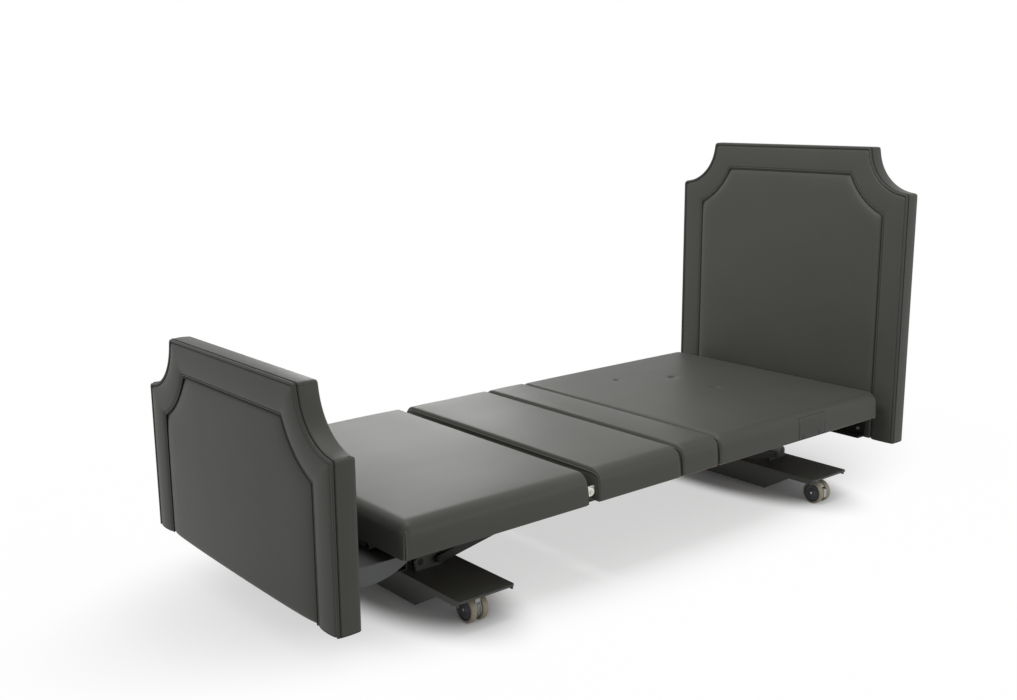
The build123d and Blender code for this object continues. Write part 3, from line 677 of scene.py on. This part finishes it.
def bandSeams(name, box, body):
    # closing seams across the band at the four horns
    front, back = box[0][1], box[1][1]
    path = boardOutline(box, -hornSeam["outside"])
    side, arc, top = (boardShape[key] for key in ("sideSteps", "arcSteps", "topSteps"))
    horns = [side, side + arc, side + arc + top, side + 2 * arc + top]
    middle = Vector((0, (box[0][2] + box[1][2]) / 2))
    length = back - front - hornSeam["start"] - hornSeam["end"]
    steps = hornSeam["steps"]
    points, faces = [], []
    for index in horns:
        place = path[index] + (middle - path[index]).normalized() * hornSeam["sunk"]
        line = [Vector((place.x, front + hornSeam["start"] + length * step / steps, place.y))
                for step in range(steps + 1)]
        more, quads = tube(line, hornSeam["radius"], hornSeam["sides"])
        faces += [tuple(number + len(points) for number in quad) for quad in quads]
        points += more
    newPiece(name, points, faces, weltLeather, body)


def endBoard(prefix, look):
    core, border, inset = (prefix + part for part in ("_core", "_border", "_inset"))
    box = boxOfBoth(core, border)
    box[0].y, box[1].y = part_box(border)[0][1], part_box(core)[1][1]
    body, gap = "deck_frame", look["gapBelow"]
    around = borderPiece(prefix + "_frame_cover", box, look, body, (border,))
    cushion = insetPiece(prefix + "_inset_cover", box, look, body, (inset,))
    swell = insetSwell
    settle(cushion, swell["pressure"], swell["cap"],
           lambda point: pillowRise(box, gap, point.x, point.z, swell["soft"]),
           swell["stiffness"], swell["evenings"])
    cover = backCover(prefix + "_back_cover", box, body, (core,))
    radius, below = weltLook["radius"], seamLook["low"]
    inward, depth = weltLook["outer"]
    weltPiece(prefix + "_outer_welt", box, inward, depth, below, body, radius)
    outward, depth = weltLook["inner"]
    weltPiece(prefix + "_inset_welt", box, boardShape["border"] - outward, depth,
              max(below, gap), body, radius * weltLook["innerShare"])
    bandSeams(prefix + "_band_seams", box, body)
    seamLines(prefix, box, look, body)
    if gap:
        packerCover(prefix + "_packer_cover", box, look, body)


# deck sections

deckLook = {
    "sideRound": 0.036,    # rolled long edges
    "endRound": 0.017,     # tighter edges at the gaps
    "cornerRound": 0.013,  # upright corners lower down
    "footRound": 0.006,
    "spacing": 0.015,
    "rim": 0.024,          # cover folded under the board
    "rimThick": 0.005,
    "under": 0.0015,       # cover's thickness below the panel
    "crown": 0.0035,
    "welt": 0.0023,
}
deckSwell = {"pressure": 1.5, "cap": 0.003, "heldTo": 0.03, "freeFrom": 0.07}


def gridLines(low, high, firstRound, lastRound, spacing, extra=()):
    # even lines, closer over both rounded ends; extra lines push near ones out
    lines = [low + firstRound * (1 - tan(radians(45 * step / 4))) for step in range(4, 0, -1)]
    ends = [high - lastRound * (1 - tan(radians(45 * step / 4))) for step in range(1, 5)]
    inner = low + firstRound, high - lastRound
    count = max(1, round((inner[1] - inner[0]) / spacing))
    middle = [inner[0] + (inner[1] - inner[0]) * step / count for step in range(count + 1)]
    fine = [value for value in extra if inner[0] < value < inner[1]]
    middle = [value for value in middle if all(abs(value - other) > 0.0035 for other in fine)]
    return sorted(lines + middle + fine + ends)


def boxShell(lines):
    # points and quads of a box surface on three sets of grid lines
    counts = [len(line) - 1 for line in lines]
    points, index, faces = [], {}, []

    def corner(key):
        if key not in index:
            index[key] = len(points)
            points.append(Vector(lines[axis][key[axis]] for axis in range(3)))
        return index[key]

    for axis in range(3):
        first, second = (axis + 1) % 3, (axis + 2) % 3
        for level in (0, counts[axis]):
            for here in range(counts[first]):
                for there in range(counts[second]):
                    quad = []
                    for a, b in ((0, 0), (1, 0), (1, 1), (0, 1)):
                        key = [0, 0, 0]
                        key[axis], key[first], key[second] = level, here + a, there + b
                        quad.append(corner(tuple(key)))
                    faces.append(tuple(quad if level else reversed(quad)))
    return points, faces


def padSurface(point, box, look):
    # where a point on the plain box goes on the rounded pad
    low, high = box
    rise = smoothStep(low.z + 0.02, high.z - 0.006, point.z)
    around = look["cornerRound"]
    end = look["endRound"]
    if point.y < (low.y + high.y) / 2:
        end = look.get("startRound", end)
    rounds = [around + (look["sideRound"] - around) * rise,
              around + (end - around) * rise,
              look["sideRound"] if point.z > (low.z + high.z) / 2 else look["footRound"]]
    inner = Vector(min(max(point[axis], low[axis] + rounds[axis]), high[axis] - rounds[axis])
                   for axis in range(3))
    away = Vector((point[axis] - inner[axis]) / rounds[axis] for axis in range(3))
    if away.length > 1e-9:
        away.normalize()
    return inner + Vector(away[axis] * rounds[axis] for axis in range(3))


def seatedOn(piece, path, lift):
    tree = BVHTree.FromObject(piece, bpy.context.evaluated_depsgraph_get())
    seated = []
    for point in path:
        place, normal, _, _ = tree.find_nearest(point)
        seated.append(place + normal * lift)
    return seated


def endSeam(piece, name, box, look, atHead, body):
    # welt round three sides of an end panel
    low, high = box
    end = high.y if atHead else low.y
    foot, steps, across = low.z + 0.004, 14, 60
    rises = [foot + (high.z - foot) * step / steps for step in range(steps)]
    path = [Vector((high.x, end, z)) for z in rises]
    path += [Vector((high.x + (low.x - high.x) * step / across, end, high.z))
             for step in range(across + 1)]
    path += [Vector((low.x, end, z)) for z in reversed(rises)]
    path = [padSurface(point, box, look) for point in path]
    path = relaxed(seatedOn(piece, path, 0.0006), 2)
    cord(name, path, look["welt"], weltLeather, body)


def bakeIn(piece, modifier):
    # the modifier's result becomes the piece's own mesh
    shown = piece.evaluated_get(bpy.context.evaluated_depsgraph_get())
    fresh = bpy.data.meshes.new_from_object(shown)
    piece.modifiers.remove(modifier)
    old = piece.data
    piece.data = fresh
    bpy.data.meshes.remove(old)


def pocket(piece, low, high):
    # slot for the hinge lugs, cut right through the edge of the cover
    work = bmesh.new()
    middle, size = (low + high) / 2, high - low
    bmesh.ops.create_cube(work, size=1, matrix=Matrix.Translation(middle)
                          @ Matrix.Diagonal((size.x, size.y, size.z, 1)))
    mesh = bpy.data.meshes.new("slotCutter")
    work.to_mesh(mesh)
    work.free()
    cutter = addObject("slotCutter", mesh)
    cut = piece.modifiers.new("slot", "BOOLEAN")
    cut.operation, cut.solver, cut.object = "DIFFERENCE", "MANIFOLD", cutter
    bakeIn(piece, cut)
    bpy.data.objects.remove(cutter)
    bpy.data.meshes.remove(mesh)


def subdivided(piece):
    smooth = piece.modifiers.new("finer", "SUBSURF")
    smooth.levels = smooth.render_levels = 1
    bakeIn(piece, smooth)


def deckSection(name, body, look, marks=(), slots=(), seams=(False, True)):
    pad, panel = name + "_pad", name + "_panel"
    low, high = box = boxOfBoth(pad, panel)
    low.z -= look["under"]
    fine = [[mark["place"][axis] + mark["size"] * step / 3 for mark in marks
             for step in range(-6, 7, 2)] for axis in (0, 1)]
    rim = look["rim"]
    lines = [
        gridLines(low.x, high.x, look["sideRound"], look["sideRound"], look["spacing"], fine[0]),
        gridLines(low.y, high.y, look.get("startRound", look["endRound"]), look["endRound"],
                  look["spacing"], fine[1]),
        gridLines(low.z, high.z, look["footRound"], look["sideRound"], look["spacing"]),
    ]
    points, faces = boxShell(lines)
    middle, half = (low + high) / 2, (high - low) / 2
    shaped = []
    for point in points:
        place = padSurface(point, box, look)
        if point.z >= high.z - 1e-6:                     # gentle crown on the top
            across = max(0, 1 - ((place.x - middle.x) / half.x) ** 2)
            along = max(0, 1 - ((place.y - middle.y) / half.y) ** 2)
            place.z += look["crown"] * sqrt(across * along)
        if point.z <= low.z + 1e-6:                      # rim folded under, board shows inside
            edge = min(half.x - abs(point.x - middle.x), half.y - abs(point.y - middle.y))
            place.z += look["rimThick"] * smoothStep(rim - 0.004, rim + 0.003, edge)
        shaped.append(place)
    cover = newPiece(name + "_cover", shaped, faces, leather, body, (pad,))
    held, free = low.z + deckSwell["heldTo"], low.z + deckSwell["freeFrom"]
    settle(cover, deckSwell["pressure"], deckSwell["cap"],
           lambda point: smoothStep(held, free, point.z))
    for vertex in cover.data.vertices:                   # buttoned marks
        for mark in marks:
            if vertex.co.z > high.z - 0.01:
                away = (vertex.co.xy - Vector(mark["place"])).length
                vertex.co.z -= mark["deep"] * exp(-(away / mark["size"]) ** 2 * 1.6)
    subdivided(cover)
    for atHead in seams:
        label = name + ("_head_welt" if atHead else "_foot_welt")
        endSeam(cover, label, box, look, atHead, body)
    for slot in slots:
        pocket(cover, *slot)
    return cover, box


lugSlot = {"half": 0.022, "places": (-0.300, 0.300), "reach": 0.082, "beyond": 0.02,
           "low": 0.20, "high": 0.323}


def lugSlots(end, towards):
    # hinge lugs stand in slots at the hinged end
    cuts = []
    for x in lugSlot["places"]:
        inner = end + towards * lugSlot["reach"]
        outer = end - towards * lugSlot["beyond"]
        low = Vector((x - lugSlot["half"], min(inner, outer), lugSlot["low"]))
        cuts.append((low, Vector((x + lugSlot["half"], max(inner, outer), lugSlot["high"]))))
    return cuts


cornerFold = {"spread": 0.0045, "radius": 0.0026, "thread": 0.0011, "below": 0.004,
              "above": 0.019, "inwards": 0.004, "steps": 16}


def cornerSeams(cover, name, box, look, body):
    # folded seam up the corners of a rolled end, looped over into a small ear at the top
    low, high = box
    fold = cornerFold

    def upright(x, shift, radius):
        path, steps = [], fold["steps"]
        for step in range(steps + 1):
            z = low.z + fold["below"] + (high.z - low.z - fold["above"]) * step / steps
            path.append(padSurface(Vector((x, low.y + fold["inwards"] + shift, z)), box, look))
        return relaxed(seatedOn(cover, path, radius * 0.35), 2)

    for side, x in (("right", low.x), ("left", high.x)):
        first = upright(x, -fold["spread"], fold["radius"])
        second = upright(x, fold["spread"], fold["radius"])
        top = (first[-1] + second[-1]) / 2 + Vector((0, 0, fold["spread"]))
        path = relaxed(first + [top] + second[::-1], 1)
        cord(name + "_" + side + "_fold", path, fold["radius"], leather, body, 10)
        thread = upright(x, 0.0, fold["thread"])[:-1]
        cord(name + "_" + side + "_seam", thread, fold["thread"], seamThreadAndGrooveShade, body)


railPatch = {"side": 0.48, "start": 0.607, "end": 0.747, "low": 0.2455, "high": 0.322,
             "proud": 0.0012, "sunk": 0.0015, "thread": 0.0007, "columns": 29, "rows": 17,
             "holes": (0.631, 0.719), "holeHigh": 0.2525, "holeRadius": 0.0045}


def patchPiece(cover, look, body):
    # stitched patch over the assist rail holes on the left side
    lengths, heights = look["columns"], look["rows"]
    long, tall = look["end"] - look["start"], look["high"] - look["low"]
    flat = [Vector((look["side"], look["start"] + long * column / (lengths - 1),
                    look["low"] + tall * row / (heights - 1)))
            for row in range(heights) for column in range(lengths)]
    tree = BVHTree.FromObject(cover, bpy.context.evaluated_depsgraph_get())
    outer, inner = [], []
    for number, point in enumerate(flat):
        row, column = divmod(number, lengths)
        border = row in (0, heights - 1) or column in (0, lengths - 1)
        place, normal, _, _ = tree.find_nearest(point)
        outer.append(place + normal * (0.0002 if border else look["proud"]))
        inner.append(place - normal * look["sunk"])
    faces = []
    count = len(flat)
    for row in range(heights - 1):
        for column in range(lengths - 1):
            first = row * lengths + column
            quad = (first, first + 1, first + lengths + 1, first + lengths)
            faces.append(quad)
            faces.append(tuple(number + count for number in reversed(quad)))
    rim = (list(range(lengths))
           + [row * lengths + lengths - 1 for row in range(1, heights)]
           + [(heights - 1) * lengths + column for column in range(lengths - 2, -1, -1)]
           + [row * lengths for row in range(heights - 2, 0, -1)])
    for index, first in enumerate(rim):
        second = rim[(index + 1) % len(rim)]
        faces.append((first, second, second + count, first + count))
    newPiece("back_side_patch", outer + inner, faces, wrapLeather, body)
    line = [outer[number] for number in rim]
    cord("back_side_patch_seam", line, look["thread"], seamThreadAndGrooveShade, body, 6, True)
    radius = look["holeRadius"]
    for index, y in enumerate(look["holes"]):
        place, normal, _, _ = tree.find_nearest(Vector((look["side"], y, look["holeHigh"])))
        profile = [(radius * 0.55, -0.006), (radius * 0.62, 0.0004), (radius, 0.0016),
                   (radius * 1.5, 0.0014), (radius * 1.62, 0.0002), (radius * 1.4, -0.006)]
        points, faces = lathe(profile, place + normal * 0.0008, Vector((1, 0, 0)), 24, True)
        newPiece("rail_hole_eyelet" + str(index), points, faces, finish["drive_plastic"], body)


def lathe(profile, centre, axis, sides=48, closed=False):
    # radius and distance along the axis, turned round it
    first = axis.orthogonal().normalized()
    second = axis.cross(first)
    rings = []
    for step in range(sides):
        angle = 2 * pi * step / sides
        out = first * cos(angle) + second * sin(angle)
        rings.append([centre + out * radius + axis * along for radius, along in profile])
    return loft(rings, around=closed, along=True)


endBoard("footboard", footLook)
endBoard("headboard", headLook)
print("end boards upholstered")

backMarks = (
    {"place": (-0.154, 0.682), "size": 0.017, "deep": 0.0065},
    {"place": (0.052, 0.682), "size": 0.017, "deep": 0.0065},
    {"place": (-0.260, 0.494), "size": 0.010, "deep": 0.0100},
    {"place": (0.452, 0.652), "size": 0.009, "deep": 0.0040},
)
calfLook = dict(deckLook, startRound=0.032, endRound=0.008, cornerRound=0.009, footRound=0.004)
thighLook = dict(deckLook, startRound=0.008)
seatLook = dict(deckLook, startRound=0.009, endRound=0.009)
calfCover, calfBox = deckSection("calf", "calf_section", calfLook, seams=(True,))
cornerSeams(calfCover, "calf_corner", calfBox, calfLook, "calf_section")
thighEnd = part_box("thigh_pad")[1][1]
deckSection("thigh", "thigh_section", thighLook, slots=lugSlots(thighEnd, -1))
deckSection("seat", "deck_frame", seatLook)
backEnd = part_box("back_pad")[0][1]
backTop, _ = deckSection("back", "back_section", deckLook, backMarks,
                         lugSlots(backEnd, 1), seams=(False,))
patchPiece(backTop, railPatch, "back_section")
print("deck sections upholstered")


# caster wheels: tan tyre, dark dished disc and its rim

wheelLook = {"tread": 0.0065, "treadRound": 0.0048, "dish": 0.0022, "hub": 0.0085,
             "bore": 0.0043, "sides": 56}
riding = [(body, name) for body, names in frame["record"]["behaviour"]["bodies"].items()
          for name in names]


def mirrored(half):
    # the same profile on the other face of the wheel
    return half + [(across, -along) for across, along in reversed(half)]


def wheelPieces(name, body):
    low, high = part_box(name)
    middle = (low + high) / 2
    radius, half = (high.z - low.z) / 2, (high.y - low.y) / 2
    axis, sides = Vector((0, 1, 0)), wheelLook["sides"]
    inner, bend = radius - wheelLook["tread"], wheelLook["treadRound"]
    side = [(inner - 0.001, -half + 0.001)]
    side += [(radius - bend + bend * sin(radians(angle)),
              -half + 0.0052 - bend * cos(radians(angle))) for angle in range(0, 91, 15)]
    tyre = side + [(radius, 0.0)] + mirrored(side)[len(side):]
    points, faces = lathe(tyre, middle, axis, sides, True)
    newPiece(name + "_tyre", points, faces, finish["caster_wheel"], body, (name,))
    rim = [(inner + 0.0004, -half + 0.0018), (inner - 0.0006, -half + 0.0002),
           (inner - 0.0032, -half + 0.0002), (inner - 0.0042, -half + 0.0020)]
    points, faces = lathe(mirrored(rim), middle, axis, sides, True)
    newPiece(name + "_rim", points, faces, rimPlastic, body)
    dish, hub = wheelLook["dish"], wheelLook["hub"]
    face = [(inner - 0.0036, -half + 0.0024), (inner - 0.006, -half + dish + 0.0012),
            (hub + 0.006, -half + dish + 0.0016), (hub + 0.003, -half + 0.0012),
            (hub, -half + 0.0004), (0.0052, -half + 0.0004), (0.0050, -half + 0.002),
            (wheelLook["bore"], -half + 0.0022)]
    points, faces = lathe(mirrored(face), middle, axis, sides, True)
    newPiece(name + "_disc", points, faces, discPlastic, body)


hoodRib = {"radius": 0.0314, "thick": 0.0009, "offsets": (-0.0045, 0.0, 0.0045), "lift": 0.002,
           "sides": 6}


def hoodRibs(name, body):
    # raised ribs over the top of a hood, round its wheels' middle
    low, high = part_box(name.replace("_hood", "_wheel_a"))
    middle = (low + high) / 2
    middle.y = (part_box(name)[0].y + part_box(name)[1].y) / 2
    middle.z += hoodRib["lift"]
    angles = [2 * pi * step / hoodRib["sides"] for step in range(hoodRib["sides"])]
    for index, shift in enumerate(hoodRib["offsets"]):
        ring = [(hoodRib["radius"] + hoodRib["thick"] * cos(angle),
                 shift + hoodRib["thick"] * sin(angle)) for angle in angles]
        points, faces = lathe(ring, middle, Vector((0, 1, 0)), wheelLook["sides"], True)
        newPiece(name + "_rib" + str(index), points, faces, discPlastic, body)


for body, name in riding:
    if "_wheel_" in name:
        wheelPieces(name, body)
for body, name in riding:
    if name.startswith("foot_") and name.endswith("_hood"):
        hoodRibs(name, body)
print("caster wheels made")


# metal and plastic pieces that keep their own shape

slotOf = {part["node"]: part["material_slot"] for part in frame["record"]["subparts"]}
# these parts get the near-black coat: the pins and head bracket as dark hardware, the lift arms,
# tie links and main frame as painted shade under the deck
nearBlackAndShadedParts = {"foot_base_pins", "head_base_pins", "frame_pivot_pins", "head_bracket",
             "foot_lift_arm", "head_lift_arm", "foot_tie_links", "head_tie_links",
             "main_frame"}
paleParts = {"calf_hinge_leaves", "thigh_hinge_leaves"}
coats = dict.fromkeys(nearBlackAndShadedParts, blackSteelAndShade) | dict.fromkeys(paleParts, paleCoat)
for name, node in nodes.items():
    for place in node.material_slots:
        place.material = coats.get(name, finish[slotOf[name]])
print("metalwork finished")


# floor and light

studio = {
    "floor": paint(206, 206, 206),
    "world": 0.84,
    "top": {"place": (-0.9, -0.9, 3.6), "size": (3.8, 3.8), "power": 24, "aim": (0, -0.4, 0.3)},
    "side": {"place": (-2.4, 1.0, 1.25), "size": (1.2, 1.2), "power": 16, "aim": (0, -0.6, 0.3)},
    "fill": {"place": (3.2, 1.1, 0.8), "size": (2.4, 1.0), "power": 16, "aim": (0.4, 0.4, 0.25)},
    "board": {"place": (0.3, -0.7, 1.9), "size": (0.9, 0.5), "power": 22, "aim": (0, 1.15, 0.8)},
    "fade": (1.7, 2.8),    # the floor goes to plain white between these distances
    "deckLift": 0.58,      # how much the floor under the deck is lifted to white
    "openLift": 0.98,      # the open floor beside it
    "baseLift": 0.02,      # and close round the two bases
    "deckEdge": (0.42, 0.72),
    "deckSquash": 0.38,    # makes the lifted patch under the deck longer than wide
    "baseReach": (0.46, 0.17),
    "baseFade": (0.85, 1.5),
    "bases": (-0.728, 0.763),
    "floorHalf": 14,
}


def seenRay(tree):
    direct, glossy, through = (addNode(tree, "LightPath", output="Is " + ray + " Ray")
                               for ray in ("Camera", "Glossy", "Transmission"))
    return (direct + glossy + through) > 0.5


def distance(tree, place):
    return addNode(tree, "VectorMath", {"operation": "LENGTH"}, {0: place}, "Value")


def fade(tree, value, ends, levels=(0.0, 1.0)):
    # smooth change from the first level to the second between the two ends
    return addNode(tree, "MapRange", {"interpolation_type": "SMOOTHSTEP"}, {
        "Value": value, "From Min": ends[0], "From Max": ends[1],
        "To Min": levels[0], "To Max": levels[1]})


def makeFloor(look):
    half = look["floorHalf"]
    mesh = bpy.data.meshes.new("studioFloor")
    mesh.from_pydata([(-half, -half, 0), (half, -half, 0), (half, half, 0), (-half, half, 0)],
                     [], [(0, 1, 2, 3)])
    floor = addObject("studioFloor", mesh)
    material, tree, shader, place = newMaterial("paperFloor", {
        "Base Color": look["floor"], "Roughness": 1.0, "Specular IOR Level": 0.0})
    far = fade(tree, distance(tree, place), look["fade"])
    glow = addNode(tree, "Emission", None, {"Color": (1, 1, 1, 1), "Strength": 1.0})
    close = 1.0
    squeeze = tuple(1 / reach for reach in look["baseReach"]) + (0,)
    for y in look["bases"]:
        moved = addNode(tree, "VectorMath", {"operation": "SUBTRACT"}, {0: place, 1: (0, y, 0)})
        away = distance(tree, stretched(tree, moved, squeeze))
        close = close * fade(tree, away, look["baseFade"])
    across = distance(tree, stretched(tree, place, (1, look["deckSquash"], 0)))
    beside = fade(tree, across, look["deckEdge"], (look["deckLift"], look["openLift"]))
    lift = close * (beside - look["baseLift"]) + look["baseLift"]
    mask = (far * (1 - lift) + lift) * seenRay(tree)
    mixed = addNode(tree, "MixShader", None, {0: mask, 1: Value(tree, shader.outputs[0]), 2: glow})
    feed(tree, mixed, tree.nodes["Material Output"].inputs["Surface"])
    mesh.materials.append(material)


def makeWorld(look):
    world = bpy.data.worlds.new("studio")
    bpy.context.scene.world = world
    world.use_nodes = True
    tree = world.node_tree
    background = tree.nodes["Background"]
    background.inputs["Color"].default_value = (1, 1, 1, 1)
    strength = seenRay(tree) * (1 - look["world"]) + look["world"]
    feed(tree, strength, background.inputs["Strength"])


def makeLamp(name, spec):
    lamp = bpy.data.lights.new(name, "AREA")
    lamp.shape = "RECTANGLE"
    lamp.size, lamp.size_y = spec["size"]
    lamp.energy = spec["power"]
    light = addObject(name, lamp)
    light.location = spec["place"]
    aim = Vector(spec["aim"]) - Vector(spec["place"])
    light.rotation_euler = aim.to_track_quat("-Z", "Y").to_euler()


makeFloor(studio)
makeWorld(studio)
for name in ("top", "side", "fill", "board"):
    makeLamp(name + "Softbox", studio[name])
print("studio lit")
